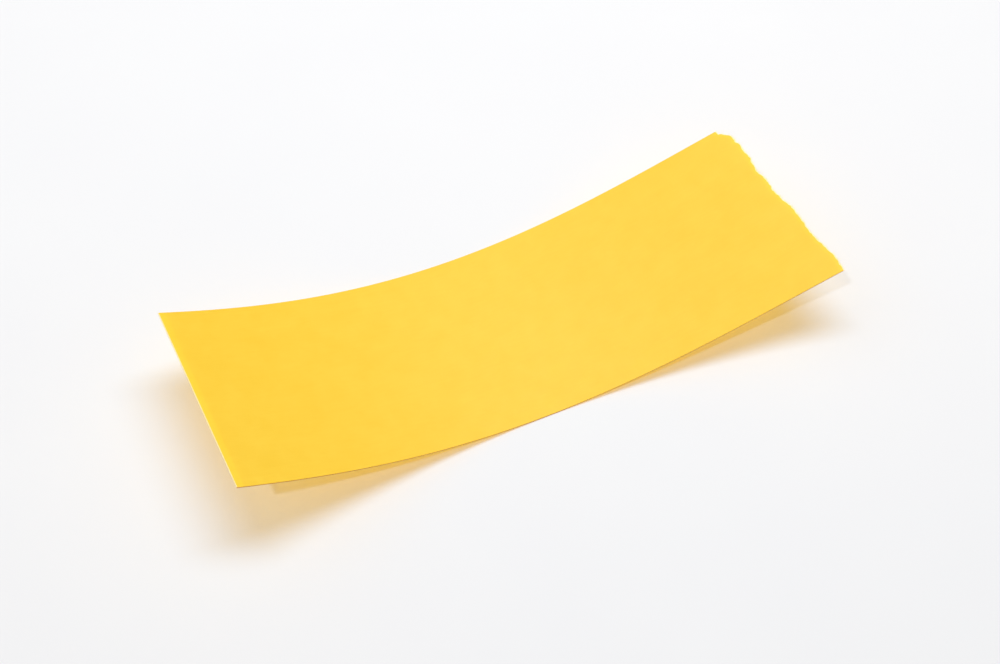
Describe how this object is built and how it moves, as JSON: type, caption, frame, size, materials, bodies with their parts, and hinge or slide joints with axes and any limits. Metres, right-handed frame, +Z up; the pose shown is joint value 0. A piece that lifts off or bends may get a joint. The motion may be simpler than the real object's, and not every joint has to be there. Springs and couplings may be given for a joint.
{
  "type": "paper tape strip",
  "caption": "Torn-off strip of plain yellow paper tape, cut clean at one end and torn at the other, curled so that both ends lift off the surface it rests on.",
  "frame": {"origin": "on the underside, in the middle of the flat land where the adhesive touches the surface", "axes": "+X along the slit edges towards the torn end, +Y across the strip towards its back edge, +Z up from the surface that it rests on"},
  "size_m": [0.0466, 0.0152, 0.0065],
  "materials": {
    "release_varnish": "clear matt release varnish, so it shows the ink under it",
    "yellow_ink": "plain golden yellow print, matt",
    "tape_paper": "thin long-fibre paper, tinted through, lets light through",
    "primer": "clear undercoat, so it shows the paper next to it",
    "adhesive": "clear pressure-sensitive acrylic, satin and tacky, so it shows the paper above it"
  },
  "bodies": {
    "root": {"release_coat": "release_varnish", "colour_coat": "yellow_ink", "paper_backing": "tape_paper", "primer_coat": "primer", "adhesive_layer": "adhesive"}
  },
  "joints": []
}
